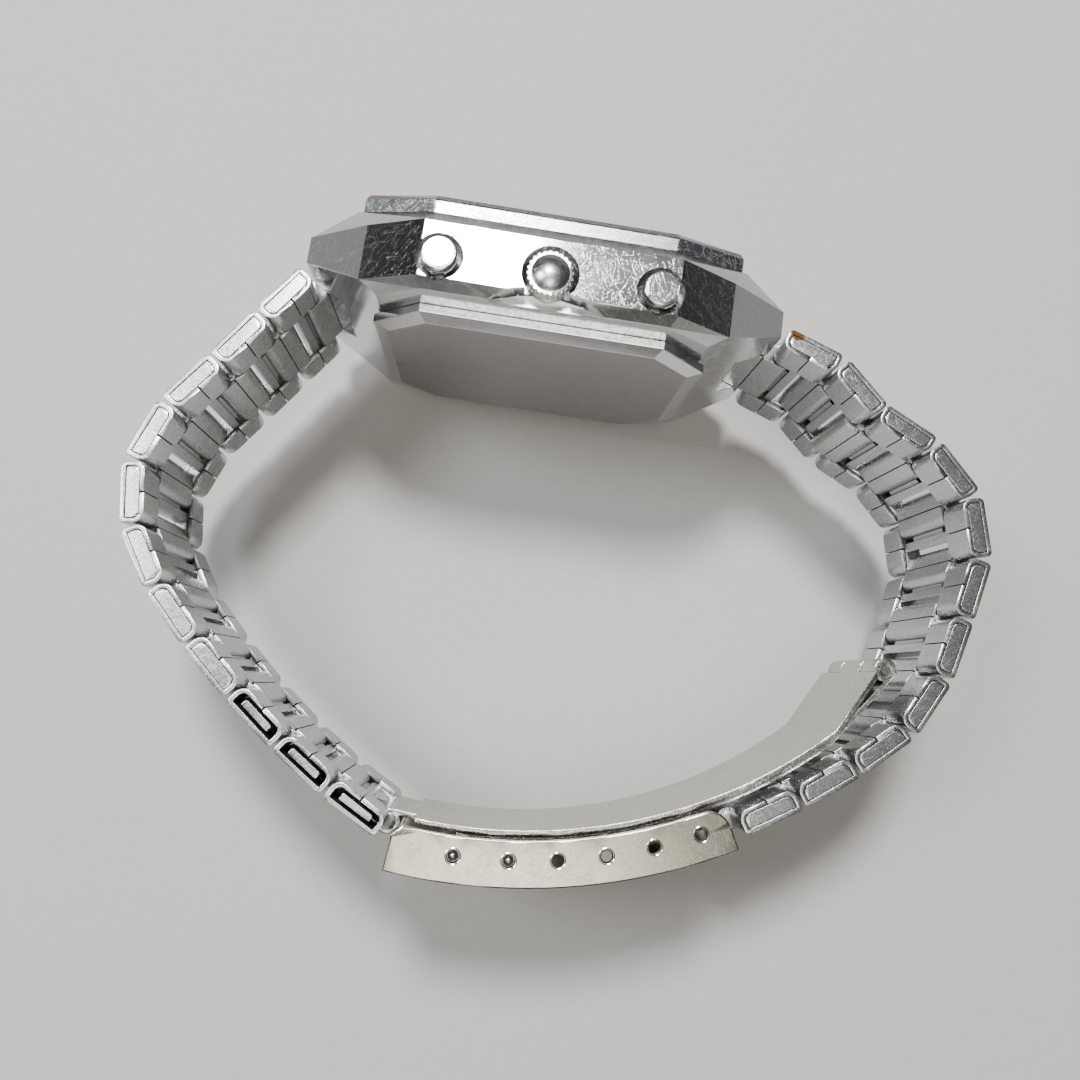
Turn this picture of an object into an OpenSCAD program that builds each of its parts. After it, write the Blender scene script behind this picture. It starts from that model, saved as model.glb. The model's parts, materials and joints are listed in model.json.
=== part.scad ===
// Quartz wristwatch on a folded-link steel bracelet, clasp closed, lying on its 9 o'clock flank.
// +X points to 12 o'clock, +Y is the dial side and +Z is the crown side.
// The origin is the middle of the flank that the watch rests on.

/* [Case] */
// Width of the case across its two long flanks
case_w = 34; // [33:0.5:38]
// Length of the case from lug end to lug end
case_l = 44.8; // [44:0.2:48]
// Length of the flat part of each flank
flank_l = 22.6; // [21.5:0.5:26]
// Height of the flank
flank_h = 5.1; // [4.8:0.1:6]
// Length of the case where its two facets meet
facet_l = 33.2; // [31:0.5:36]
// Width of the case where its two facets meet
facet_w = 28; // [27:0.5:30]
// Height of the sloping shoulder between flank and bezel
shoulder_h = 1.9; // [1.7:0.1:2.1]
// Height of the bevel under the flank
bevel_h = 0.65; // [0.4:0.05:0.9]
// How far the bevel under the flank runs inwards
bevel_in = 1.4; // [1:0.1:1.8]
// Height of each lug end
lug_h = 2.6; // [2.5:0.1:3]
// Height of the bezel
bezel_h = 2; // [1.6:0.05:2.4]
// Thickness of the case back behind its seat
back_t = 1.3; // [1.1:0.1:1.8]
// Width of the chamfer round the case back
back_chamfer = 0.5; // [0.4:0.1:0.9]
// How far the chamfer runs inwards over the case back
back_run = 1.4; // [1:0.1:1.6]

/* [Window and dial] */
// Length of the window, 12 o'clock to 6 o'clock
window_l = 23.6; // [22:0.2:24.4]
// Width of the window
window_w = 21.6; // [20:0.2:22.4]
// Length that each window corner cuts off
window_cut = 4.2; // [3:0.2:6]
// Thickness of the crystal
crystal_t = 2.1; // [1.2:0.1:2.4]
// Height of the space for the hands
hand_space = 2.1; // [2:0.1:2.4]
// Thickness of the dial
dial_t = 0.4; // [0.3:0.05:0.5]
// Length of the minute hand
minute_l = 9; // [7:0.5:9.5]
// Length of the hour hand
hour_l = 6.2; // [5:0.5:7]
// Radius of the second hand's arbor
arbor_r = 0.27; // [0.2:0.01:0.3]
// Step in radius from one hand's tube to the next
arbor_step = 0.18; // [0.16:0.01:0.2]

/* [Crown and pushers] */
// Radius of the crown's fluted ring
crown_r = 2.05; // [1.95:0.05:2.3]
// Radius of the crown's dome
dome_r = 1.65; // [1.4:0.05:1.75]
// Number of flutes round the crown
flutes = 24; // [16:2:32]
// Travel of the crown when it is pulled out to set the hands
crown_pull = 1; // [0.6:0.1:1.2]
// Radius of a pusher's head
pusher_r = 1.55; // [1.4:0.02:1.65]
// Distance from the crown's axis to a pusher's axis
pusher_x = 9.6; // [8.5:0.1:9.8]
// How far a pusher's head stands out of the flank
pusher_out = 0.9; // [0.7:0.05:1]
// Travel of a pusher
pusher_travel = 0.8; // [0.4:0.1:0.9]
// How far the crown and pushers lie below the middle of the flank
control_drop = 0.6; // [0.4:0.05:0.8]

/* [Bracelet] */
// Width of the bracelet
band_w = 18; // [17:0.5:18]
// Distance from hinge to hinge
link_pitch = 5.85; // [5.6:0.05:6.2]
// Gap between two links
link_gap = 0.3; // [0.25:0.05:0.4]
// Thickness of a link
link_t = 2.1; // [2.05:0.05:2.3]
// Width of each outer row
row_w = 3.9; // [3.5:0.1:4.2]
// Gap between an outer row and the centre row
row_gap = 0.3; // [0.3:0.02:0.4]
// Thickness of the folded sheet
sheet_t = 0.42; // [0.35:0.01:0.5]
// Width of the cross tongue in the middle of a link
tongue_w = 0.9; // [0.7:0.1:1.1]
// Slot on each side of the tongue
slot_w = 0.4; // [0.35:0.05:0.5]
// Distance from the spring bar to the middle of the first link
first_reach = 5.1; // [5:0.1:6]

/* [Clasp] */
// Outer radius of the clasp cover's curve
clasp_r = 53; // [49:0.5:60]
// Length of the cover along its row of holes
cover_l = 30.1; // [28.5:0.1:32]
// Height of the cover's side walls
wall_h = 4; // [3.9:0.1:4.4]
// Thickness of the cover's side walls
wall_t = 0.8; // [0.6:0.05:1]
// Thickness of the cover's outer plate
plate_t = 0.6; // [0.4:0.05:0.65]
// Distance from the cover's end to its first hole
first_hole = 5.6; // [5:0.1:6]
// Distance between the first two holes
first_gap = 4.8; // [4.4:0.1:5]
// Distance between two of the other holes
hole_pitch = 4.25; // [4.1:0.05:4.4]
// Radius of a hole in the cover's walls
hole_r = 0.6; // [0.55:0.01:0.7]
// Distance along the row of holes from the cover's end to the blades' hinge
barrel_at = 51.5; // [50:0.5:53]
// Width of the inner blade
inner_w = 14.4; // [13.5:0.1:15]
// Thickness of the inner blade
inner_t = 0.5; // [0.4:0.05:0.5]
// Width of the middle blade
middle_w = 12; // [11:0.1:13]
// Thickness of the middle blade
middle_t = 0.4; // [0.3:0.05:0.4]

/* [Hidden] */
$fn = 64;
LINKS = 11;
HOLES = 6;
// Hand-laid directions of the links in degrees, from the case towards the clasp
dirs_12 = [-19, -43, -26, -46, -77, -103, -105, -119, -139, -144, -149];
dirs_6 = [-125, -125, -126, -110, -81, -58, -46, -42, -38, -34, -29];

// Clearances
run = 0.05;
seat = 0.04;
part_gap = 0.25;

// Case levels, counted along Y from the middle of the flank
mid_z = case_w / 2;
flank_top = flank_h / 2;
bevel_bottom = -flank_h / 2 - bevel_h;
seat_y = flank_top + shoulder_h;
dial_top = seat_y - hand_space;
plate_top = dial_top - dial_t;
control_y = -control_drop;
lug_mid_y = flank_top - lug_h / 2;
bar_y = lug_mid_y - 0.1;
lug_inset = 1.5;
bar_x = case_l / 2 - lug_inset;
lug_w = band_w + 1.2;
notch_w = band_w - 2 * row_w - row_gap;

// Plan outlines: [length, width, length of the cut corner, width of the cut corner]
window = [window_l, window_w, window_cut, window_cut * 0.9];
room_ledge = 0.9;
room = [window_l + 2 * room_ledge, window_w + 2 * room_ledge, window_cut + 0.4, window_cut * 0.9 + 0.4];
glass_ledge = 0.8;
glass = [window_l + 2 * glass_ledge, window_w + 2 * glass_ledge, window_cut + 0.3, window_cut * 0.9 + 0.3];
bezel_rim = 4.9;
bezel = [glass[0] + 2 * bezel_rim, glass[1] + 1.1 * bezel_rim, 6.5, 2.1];
back = [31.4, 25, 4.6, 4.4];
gasket_t = 0.5;

// Bracelet values
link_len = link_pitch - link_gap;
fold_r = link_t / 2 - 0.05;
corner_r = 0.45;
row_z = row_w + row_gap;
centre_w = band_w - 2 * row_z;
tube_l = link_pitch - tongue_w - 2 * slot_w;
tongue_t = link_t - 0.9;
seam_w = 0.12;
ear_t = row_gap - 2 * run;
ear_r = 0.75;
stub_r = 0.42;
stub_l = 1.2;
stub_bore = stub_r + run;
bar_r = 0.72;
bar_tip_r = 0.45;
loose_bar = [3.3, 0.65];
band_z = mid_z - band_w / 2;

// Clasp values, in a frame whose origin is the centre of the cover's curve
holes_r = clasp_r - 2.3;
wall_top_r = clasp_r - wall_h;
pivot_12 = at(cover_l + 0.85, holes_r + 0.4);
pivot_6 = at(-0.85, holes_r - 1.1);
inner_r = holes_r - 2.05;
middle_r = holes_r - 1.35;
barrel_r = holes_r - 3.1;
knuckle_r = 1.1;
barrel = at(barrel_at, barrel_r);
pin_r = 0.5;
blade_pin_r = 0.45;
fold_start = barrel_at - 9;
knuckle_w = 4.8;
end_bar_r = 0.6;
end_hole = 4;

// How far the closed clasp holds the two chain ends apart
clasp_span = norm(pivot_12 - pivot_6);
// The bend added at every link that closes the loop on the clasp
spread = solve_spread(-12, 12, 40);
joints_12 = [for (k = [0:LINKS]) chain_point([bar_x, bar_y], dirs_12, -spread, k)];
joints_6 = [for (k = [0:LINKS]) chain_point([-bar_x, bar_y], dirs_6, spread, k)];
clasp_turn = heading(joints_12[LINKS] - joints_6[LINKS]) - heading(pivot_12 - pivot_6);
clasp_origin = joints_12[LINKS] - turned(pivot_12, clasp_turn);

function arm(a) = [cos(a), sin(a)];
function heading(v) = atan2(v[1], v[0]);
function turned(p, a) = [p[0] * cos(a) - p[1] * sin(a), p[0] * sin(a) + p[1] * cos(a)];
// A point of the clasp: u is measured along the row of holes from the cover's end, r from the centre
function at(u, r) = let(a = u / holes_r * 180 / PI) [r * sin(a), -r * cos(a)];
// Distance of a hole from the cover's end along the row
function hole_at(i) = first_hole + (i == 0 ? 0 : first_gap + (i - 1) * hole_pitch);
function link_dir(dirs, extra, i) = dirs[i] + extra * i;
function link_step(i) = i == 0 ? first_reach + link_pitch / 2 : link_pitch;
function chain_point(start, dirs, extra, k) =
    k == 0 ? start : chain_point(start, dirs, extra, k - 1) + link_step(k - 1) * arm(link_dir(dirs, extra, k - 1));
function ends_apart(extra) =
    norm(chain_point([bar_x, bar_y], dirs_12, -extra, LINKS) - chain_point([-bar_x, bar_y], dirs_6, extra, LINKS));
function solve_spread(lo, hi, n) = let(mid = (lo + hi) / 2)
    n == 0 ? mid : ends_apart(mid) > clasp_span ? solve_spread(mid, hi, n - 1) : solve_spread(lo, mid, n - 1);
function two(i) = i < 10 ? str("0", i) : str(i);
function clasp_point(p) = clasp_origin + turned(p, clasp_turn);

// Shared shapes

// An outline in plan with its four corners cut off, laid in the XZ plane from y = low to y = high
module plan_plate(o, low, high, inset = 0) {
    translate([0, high, mid_z]) rotate([90, 0, 0]) linear_extrude(height = high - low)
        plan_outline(o, inset);
}
module plan_outline(o, inset = 0) {
    a = o[0] / 2 - inset;
    b = o[1] / 2 - inset;
    c = o[2] - inset * 0.6;
    d = o[3] - inset * 0.6;
    polygon([[a, b - d], [a - c, b], [c - a, b], [-a, b - d], [-a, d - b], [c - a, -b], [a - c, -b], [a, d - b]]);
}
// The case in plan: flat flanks, two facets at each corner and square lug ends
module case_outline(inset = 0) {
    function side(x, z) = [x - inset, z - inset];
    corner = [side(case_l / 2, lug_w / 2), side(facet_l / 2, facet_w / 2), side(flank_l / 2 + inset * 0.7, case_w / 2)];
    polygon(concat(
        corner,
        [for (i = [2:-1:0]) [-corner[i][0], corner[i][1]]],
        [for (p = corner) -p],
        [for (i = [2:-1:0]) [corner[i][0], -corner[i][1]]]));
}
module case_slab(low, high, inset = 0) {
    translate([0, high, mid_z]) rotate([90, 0, 0]) linear_extrude(height = high - low) case_outline(inset);
}
// A cylinder along Z
module post(x, y, low, high, r) {
    translate([x, y, low]) cylinder(h = high - low, r = r);
}
// A cylinder along Y
module upright(x, z, low, high, r) {
    translate([x, high, z]) rotate([90, 0, 0]) cylinder(h = high - low, r = r);
}
// A block between two corners
module block(low, high) {
    translate(low) cube(high - low);
}
// A ring cut between two radii and two lengths along the row of holes
module arc_band(r0, r1, u0, u1) {
    reach = 1.2 * r1;
    scale_u = holes_r / reach;
    difference() {
        intersection() {
            circle(r = r1, $fn = 180);
            polygon([[0, 0], at(u0, reach), at((u0 + u1) / 2, reach), at(u1, reach)]);
        }
        circle(r = r0, $fn = 180);
    }
}
// A straight strip of sheet from p to q
module strip(p, q, t) {
    n = (q - p) / norm(q - p);
    side = [-n[1], n[0]] * t / 2;
    polygon([p + side, q + side, q - side, p - side]);
}
module disc(p, r) {
    translate(p) circle(r = r);
}
module in_clasp() {
    translate([clasp_origin[0], clasp_origin[1], band_z]) rotate(clasp_turn) children();
}

// Case

module case_body() {
    color("silver") difference() {
        union() {
            case_slab(-flank_top, flank_top);
            hull() {
                case_slab(flank_top - 0.01, flank_top);
                plan_plate(bezel, flank_top, seat_y, -0.35);
            }
            hull() {
                case_slab(bevel_bottom, bevel_bottom + 0.01, bevel_in);
                case_slab(-flank_top, 0.01 - flank_top);
            }
        }
        plan_plate(room, bevel_bottom - 1, plate_top + dial_t);
        plan_plate(window, plate_top, seat_y + 1);
        gasket_groove();
        for (side = [-1, 1]) {
            lug_cuts(side);
        }
        for (x = [-pusher_x, pusher_x]) {
            pusher_bore(x);
        }
        crown_bore();
        nail_notch();
    }
}
// Notch for the bracelet, spring bar holes and the rising underside of one pair of lugs
module lug_cuts(side) {
    back_x = bar_x - link_t / 2 - 0.45;
    mirror([side < 0 ? 1 : 0, 0, 0]) {
        block([back_x, -10, mid_z - notch_w / 2], [case_l, 10, mid_z + notch_w / 2]);
        post(bar_x, bar_y, mid_z - notch_w / 2 - 1.1, mid_z + notch_w / 2 + 1.1, bar_tip_r + run);
        translate([0, 0, -1]) linear_extrude(height = case_w + 2)
            polygon([[facet_l / 2 - 1.6, bevel_bottom - 1], [facet_l / 2 - 1.6, bevel_bottom],
                     [case_l / 2 + 1, flank_top - lug_h + 0.5], [case_l / 2 + 1, bevel_bottom - 1]]);
    }
}
module gasket_groove() {
    plan_plate(room, bevel_bottom - 1, bevel_bottom + gasket_t, -gasket_t);
}
module pusher_bore(x) {
    post(x, control_y, case_w - pusher_depth, case_w + 1, pusher_r + run);
    post(x, control_y, case_w - 0.6, case_w + 1, pusher_r + 0.55);
    post(x, control_y, mid_z, case_w, 0.65);
}
pusher_depth = 2.4;
module crown_bore() {
    post(0, control_y, case_w - crown_depth, case_w + 1, crown_r + 0.45);
    post(0, control_y, mid_z, case_w, crown_post_r + 0.3);
}
crown_depth = 1.5;
crown_post_r = 0.75;
// The scoop under the crown that lets a fingernail in
module nail_notch() {
    scoop_r = 11.7;
    for (z = [case_w - bevel_in - 0.5]) {
        post(0, -flank_top + 0.55 - scoop_r, z, case_w + 1, scoop_r);
    }
}
module bezel() {
    color("gainsboro") difference() {
        union() {
            plan_plate(bezel, seat_y, seat_y + bezel_h * 0.7);
            hull() {
                plan_plate(bezel, seat_y + bezel_h * 0.7 - 0.01, seat_y + bezel_h * 0.7);
                plan_plate(bezel, seat_y + bezel_h - 0.01, seat_y + bezel_h, 0.4);
            }
        }
        plan_plate(glass, seat_y - 1, seat_y + bezel_h + 1, -seat);
    }
}
module crystal() {
    color("lightblue", 0.5) plan_plate(glass, seat_y, seat_y + crystal_t);
}
module case_back() {
    color("silver") difference() {
        union() {
            plan_plate(back, bevel_bottom - back_t + back_chamfer, bevel_bottom);
            hull() {
                plan_plate(back, bevel_bottom - back_t + back_chamfer, bevel_bottom - back_t + back_chamfer + 0.01);
                plan_plate(back, bevel_bottom - back_t, bevel_bottom - back_t + 0.01, back_run);
            }
            plan_plate(room, bevel_bottom - 0.1, bevel_bottom + 0.9, seat);
        }
        plan_plate(room, bevel_bottom, bevel_bottom + 2, 0.9);
        // Slot for the case opener at the rim
        block([-back[0] / 2 - 1, bevel_bottom - 0.35, mid_z - 2], [-back[0] / 2 + 0.6, bevel_bottom + 0.1, mid_z + 2]);
    }
}
module case_back_gasket() {
    color("black") difference() {
        plan_plate(room, bevel_bottom, bevel_bottom + gasket_t - seat, seat - gasket_t);
        plan_plate(room, bevel_bottom - 1, bevel_bottom + gasket_t + 1, 0);
    }
}

// Dial and hands

module dial() {
    color("midnightblue") difference() {
        plan_plate(room, plate_top, dial_top, seat);
        upright(0, mid_z, plate_top - 1, dial_top + 1, 1);
        display_cut(plate_top - 1, dial_top + 1, 0);
    }
}
// Limits of the display along X, and half its width
display_near = 5.2;
display_far = 8.6;
display_half = 4.6;
module display_cut(low, high, grow) {
    block([-display_far - grow, low, mid_z - display_half - grow], [-display_near + grow, high, mid_z + display_half + grow]);
}
module display_panel() {
    color("darkseagreen") display_cut(plate_top - 0.6, plate_top, 0.5);
}
// Applied batons, one for each hour apart from those over the display
module hour_markers() {
    color("gainsboro") for (h = [0:11]) {
        a = h * 30;
        reach = min(window_l / 2 / max(abs(cos(a)), 0.01), window_w / 2 / max(abs(sin(a)), 0.01), 11.2) - 0.7;
        if (h != 6) {
            translate([0, dial_top, mid_z]) rotate([0, -a, 0])
                translate([reach - 2, 0, -0.3]) cube([2, 0.25, h % 3 == 0 ? 0.9 : 0.6]);
        }
    }
}
// One hand: a tapered baton on a ring, on a tube down to its wheel, turned to its angle from 12 o'clock
module hand(level, t, length, width, ring_r, tube_r, low, a) {
    tail = length * 0.22;
    translate([0, dial_top + level, mid_z]) rotate([0, -a, 0]) rotate([90, 0, 0]) translate([0, 0, -t])
        linear_extrude(height = t) {
            circle(r = ring_r);
            polygon([[-tail, -width / 3], [-tail, width / 3], [0, width / 2], [length * 0.8, width / 2],
                     [length, 0], [length * 0.8, -width / 2], [0, -width / 2]]);
        }
    upright(0, mid_z, low, dial_top + level + t / 2, tube_r);
}
module hour_hand() {
    color("silver") difference() {
        hand(0.45, 0.15, hour_l, 1, 1.05, arbor_r + 3 * arbor_step, plate_top - 0.8, 305);
        upright(0, mid_z, plate_top - 2, dial_top + 2, arbor_r + 2 * arbor_step + run);
    }
}
module minute_hand() {
    color("silver") difference() {
        hand(0.85, 0.15, minute_l, 0.8, 0.85, arbor_r + 2 * arbor_step - run, plate_top - 0.9, 60);
        upright(0, mid_z, plate_top - 2, dial_top + 2, arbor_r + run);
    }
}
module second_hand() {
    color("silver") {
        hand(1.25, 0.1, minute_l + 0.4, 0.25, 0.5, arbor_r, plate_top - 1.2, 180);
        upright(0, mid_z, dial_top + 1.3, dial_top + 1.5, arbor_r);
    }
}

// Movement

plate_low = control_y - 0.75;
battery_r = 3.4;
battery_h = 1.6;
board_t = 0.35;
// Limits of the circuit board along X, and its width
board_near = 3;
board_far = 11;
board_w = 7.6;
can_r = 0.6;
battery_x = -7.4;
battery_z = mid_z - 5;
rotor_x = 3.4;
rotor_z = mid_z - 6;
module movement_plate() {
    color("lightgray") difference() {
        plan_plate(room, plate_low, plate_top, 0.15);
        display_cut(plate_top - 0.7, plate_top + 1, 0.6);
        upright(0, mid_z, plate_top - 1.4, plate_top + 1, 1);
        upright(battery_x, battery_z, plate_low - 1, plate_low + 0.6, battery_r + 0.1);
        upright(rotor_x, rotor_z, plate_low - 1, plate_low + 1.5, 0.9);
        block([6.9, plate_low - 1, mid_z - 8.4], [10.2, plate_low + 1.6, mid_z + 0.4]);
        for (x = [-pusher_x, pusher_x]) {
            block([x - clip_r - 0.4, plate_low - 1, clip_z - clip_t - pusher_travel - 0.3],
                  [x + clip_r + 0.4, control_y + clip_r + 0.2, case_w]);
        }
        block([-1.6, plate_low - 1, mid_z + 4], [4.6, plate_low + 1.7, mid_z + 13]);
    }
}
module gear_train_cover() {
    color("goldenrod") difference() {
        block([-2.6, plate_low - 0.5, mid_z - 4.4], [4.4, plate_low, mid_z + 3.6]);
        upright(0, mid_z, plate_low - 1, plate_low + 1, 0.4);
    }
}
module circuit_board() {
    color("darkgreen") difference() {
        block([-board_far, plate_low - board_t, mid_z], [-board_near, plate_low, mid_z + board_w]);
        upright(1.6 - board_far, mid_z + board_w - 1.4, plate_low - 1, plate_low + 1, 0.5);
    }
}
module battery() {
    color("silver") difference() {
        upright(battery_x, battery_z, plate_low + 0.6 - battery_h, plate_low + 0.6, battery_r);
        difference() {
            upright(battery_x, battery_z, plate_low + 0.4, plate_low + 1, battery_r + 1);
            upright(battery_x, battery_z, plate_low, plate_low + 1, battery_r - 0.5);
        }
    }
}
module battery_strap() {
    strap_y = plate_low + 0.6 - battery_h;
    color("silver") difference() {
        union() {
            block([battery_x - 1, strap_y - 0.15, mid_z - 9.6], [battery_x + 1, strap_y, mid_z + 0.8]);
            block([battery_x - 1, strap_y - 0.15, mid_z + 0.6], [battery_x + 1, plate_low - board_t, mid_z + 0.8]);
        }
        upright(battery_x, battery_z, strap_y - 1, strap_y + 1, 0.5);
    }
}
module coil() {
    coil_x = 8.6;
    coil_y = plate_low + 0.4;
    color("sienna") {
        post(coil_x, coil_y, mid_z - 7.6, mid_z - 0.4, 0.85);
        for (z = [mid_z - 8, mid_z - 0.4]) {
            post(coil_x, coil_y, z, z + 0.4, 1.1);
        }
    }
}
module stator() {
    color("dimgray") difference() {
        block([2, plate_low - 0.3, mid_z - 9], [5, plate_low, mid_z - 4.6]);
        upright(rotor_x, rotor_z, plate_low - 1, plate_low + 1, 0.8);
    }
}
module rotor() {
    color("gray") {
        upright(rotor_x, rotor_z, plate_low - 0.3, plate_low + 0.4, 0.7);
        upright(rotor_x, rotor_z, plate_low - 0.6, plate_low + 1.4, 0.2);
    }
}
module quartz_can() {
    color("silver") {
        can_y = plate_low - board_t - can_r;
        post(-4.6, can_y, mid_z + 1, mid_z + 6.6, can_r);
        translate([-4.6, can_y, mid_z + 6.6]) sphere(r = can_r);
    }
}

// Crown, stem and setting lever

module crown() {
    dome_h = 0.55;
    ball_r = (dome_r * dome_r + dome_h * dome_h) / (2 * dome_h);
    color("silver") difference() {
        union() {
            post(0, control_y, case_w - crown_depth + 0.1, case_w + 0.1, crown_r);
            intersection() {
                translate([0, control_y, case_w + 0.1 + dome_h - ball_r]) sphere(r = ball_r, $fn = 96);
                post(0, control_y, case_w, case_w + 2, dome_r);
            }
            post(0, control_y, case_w - 3.4, case_w - 1, crown_post_r);
        }
        for (i = [0:flutes - 1]) {
            a = i * 360 / flutes;
            post(crown_r * cos(a), control_y + crown_r * sin(a), case_w - 1, case_w + 1, 0.14);
        }
        post(0, control_y, case_w - 4, case_w - 1.6, 0.4);
    }
}
module crown_gasket() {
    color("black") difference() {
        post(0, control_y, case_w - 3.2, case_w - 2.6, crown_post_r + 0.3 - 0.02);
        post(0, control_y, case_w - 4, case_w, crown_post_r);
    }
}
lever_z = mid_z + 8.4;
module stem() {
    color("silver") difference() {
        post(0, control_y, mid_z + 5, case_w - 1.6, 0.39);
        difference() {
            post(0, control_y, lever_z - 0.3, lever_z + 0.3, 1);
            post(0, control_y, lever_z - 1, lever_z + 1, 0.24);
        }
    }
}
// The lever whose fork holds the stem's groove and slides with it
module setting_lever() {
    color("silver") difference() {
        block([-0.9, control_y - 0.7, lever_z - 0.25], [4, control_y + 0.7, lever_z + 0.25]);
        block([-2, control_y - 0.29, lever_z - 1], [0, control_y + 0.29, lever_z + 1]);
        post(0, control_y, lever_z - 1, lever_z + 1, 0.29);
    }
}

// Pushers and their springs

head_low = case_w - pusher_travel - 0.2;
module pusher(x) {
    color("silver") {
        post(x, control_y, head_low, case_w + pusher_out - 0.2, pusher_r);
        post(x, control_y, case_w + pusher_out - 0.21, case_w + pusher_out, pusher_r - 0.15);
        post(x, control_y, clip_z - clip_t, head_low + 0.1, 0.6);
        post(x, control_y, clip_z - clip_t, clip_z, clip_r);
    }
}
// The clip inside the case wall that keeps a pusher in; the wall slants there
clip_r = 0.95;
clip_t = 0.3;
clip_z = mid_z + wall_at(pusher_x + clip_r) - run;
function wall_at(x) = room[1] / 2 - max(0, x - room[0] / 2 + room[2]) * room[3] / room[2];
wire_r = 0.12;
coil_r = 1.2;
coil_turns = 3;
// Points of one coil spring's centre line along Z, and the tube round it
function coil_point(s, low, high) = [coil_r * cos(360 * coil_turns * s), coil_r * sin(360 * coil_turns * s),
                                     low + (high - low) * s];
module coil_spring(low, high) {
    steps = coil_turns * 12;
    sides = 6;
    points = [for (i = [0:steps]) let(c = coil_point(i / steps, low, high), a = 360 * coil_turns * i / steps)
        for (j = [0:sides - 1]) let(b = 360 * j / sides)
            c + wire_r * [cos(b) * cos(a), cos(b) * sin(a), sin(b)]];
    sheath = [for (i = [0:steps - 1], j = [0:sides - 1]) let(k = (j + 1) % sides, p = i * sides, q = p + sides)
        each [[p + j, p + k, q + k], [p + j, q + k, q + j]]];
    fan = [for (j = [1:sides - 2]) each [[0, j + 1, j], [steps * sides, steps * sides + j, steps * sides + j + 1]]];
    polyhedron(points = points, faces = concat(sheath, fan), convexity = 6);
}
module pusher_spring(x) {
    color("silver") translate([x, control_y, 0])
        coil_spring(case_w - pusher_depth + wire_r + 0.02, head_low - wire_r - 0.02);
}

// Bracelet

// A folded section from x = 0 to x = l: round folds on the inner side, small corners on the outer side
module section(l, t, inner, outer) {
    for (x = [inner, l - inner]) {
        disc([x, inner - t / 2], inner);
    }
    for (x = [outer, l - outer]) {
        disc([x, t / 2 - outer], outer);
    }
    translate([inner, -t / 2]) square([l - 2 * inner, t / 2]);
    translate([0, inner - t / 2]) square([l, t - inner - outer]);
    translate([outer, 0]) square([l - 2 * outer, t / 2]);
}
// One outer row: a C-shaped tube with its seam in the middle of the inner side
module outer_tube() {
    linear_extrude(height = row_w) difference() {
        section(link_len, link_t, fold_r, corner_r);
        translate([sheet_t, 0])
            section(link_len - 2 * sheet_t, link_t - 2 * sheet_t, fold_r - sheet_t, 0.15);
        translate([(link_len - seam_w) / 2, -link_t / 2 - 1]) square([seam_w, sheet_t + 1.1]);
    }
}
// One link in its own frame: the hinge nearer the case at the origin, +x along the bracelet and +y outwards
module link(k, loose) {
    x0 = k == 1 ? first_reach - link_len / 2 : link_gap / 2;
    xm = x0 + link_len / 2;
    xh = x0 + link_len + link_gap / 2;
    core_l = loose ? loose_bar[0] : link_len - 2 * sheet_t - 2 * seat;
    core_t = loose ? loose_bar[1] : link_t - 2 * sheet_t - 2 * seat;
    core_r = loose ? 0.2 : fold_r - sheet_t - seat;
    color("silver") {
        for (z = [0, band_w - row_w]) {
            translate([x0, 0, z]) outer_tube();
        }
        difference() {
            union() {
                for (z = [seat, band_w - row_w - run]) {
                    translate([xm - core_l / 2, 0, z]) linear_extrude(height = row_w + run - seat)
                        section(core_l, core_t, core_r, 0.12);
                }
                block([xm - tongue_w / 2, -tongue_t / 2, row_w], [xm + tongue_w / 2, tongue_t / 2, band_w - row_w]);
                block([xm - tongue_w / 2 - slot_w - 0.1, -0.4, row_z + 1.6], [xm, 0.4, band_w - row_z - 1.6]);
                for (z = [row_w + run, band_w - row_w - run - ear_t]) {
                    translate([0, 0, z]) linear_extrude(height = ear_t) {
                        translate([xm, -0.6]) square([xh - xm, 1.2]);
                        disc([xh, 0], ear_r);
                    }
                }
                post(xh, 0, row_w + run, row_z + stub_l, stub_r);
                post(xh, 0, band_w - row_z - stub_l, band_w - row_w - run, stub_r);
                translate([0, 0, row_z]) linear_extrude(height = centre_w) centre_section(k, xm);
            }
            centre_bores(k);
        }
    }
}
// The centre row's folded tube: round the hinge, or round the spring bar on a first link
module centre_section(k, xm) {
    start = k == 1 ? -link_t / 2 : -tube_l / 2;
    end = xm - tongue_w / 2 - slot_w;
    difference() {
        if (k == 1) {
            disc([0, 0], link_t / 2);
            translate([0, -link_t / 2]) square([1, link_t]);
            translate([0.2, 0]) section(end - 0.2, link_t, 0.5, corner_r);
        } else {
            translate([start, 0]) section(end - start, link_t, fold_r, corner_r);
        }
        translate([(start + end - seam_w) / 2, -link_t / 2 - 1]) square([seam_w, 1.25]);
    }
}
module centre_bores(k) {
    if (k == 1) {
        post(0, 0, row_z - 1, band_w - row_z + 1, bar_r + run);
    } else {
        post(0, 0, row_z - 1, row_z + stub_l + 0.1, stub_bore);
        post(0, 0, band_w - row_z - stub_l - 0.1, band_w - row_z + 1, stub_bore);
    }
}
module link_12(k) {
    translate([joints_12[k - 1][0], joints_12[k - 1][1], band_z])
        rotate(link_dir(dirs_12, -spread, k - 1)) link(k, false);
}
module link_6(k) {
    translate([joints_6[k - 1][0], joints_6[k - 1][1], band_z])
        rotate(link_dir(dirs_6, spread, k - 1)) mirror([0, 1, 0]) link(k, k > LINKS - 3);
}
// A spring bar on the axis (x, y), with shoulders span apart and tips that reach tip beyond each
module spring_bar(x, y, span, r, tip_r, tip) {
    color("lightgray") {
        post(x, y, mid_z - span / 2, mid_z + span / 2, r);
        post(x, y, mid_z - span / 2 - tip, mid_z + span / 2 + tip, tip_r);
    }
}
module spring_bar_12() {
    spring_bar(bar_x, bar_y, centre_w + 0.1, bar_r, bar_tip_r, 0.9);
}
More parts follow.
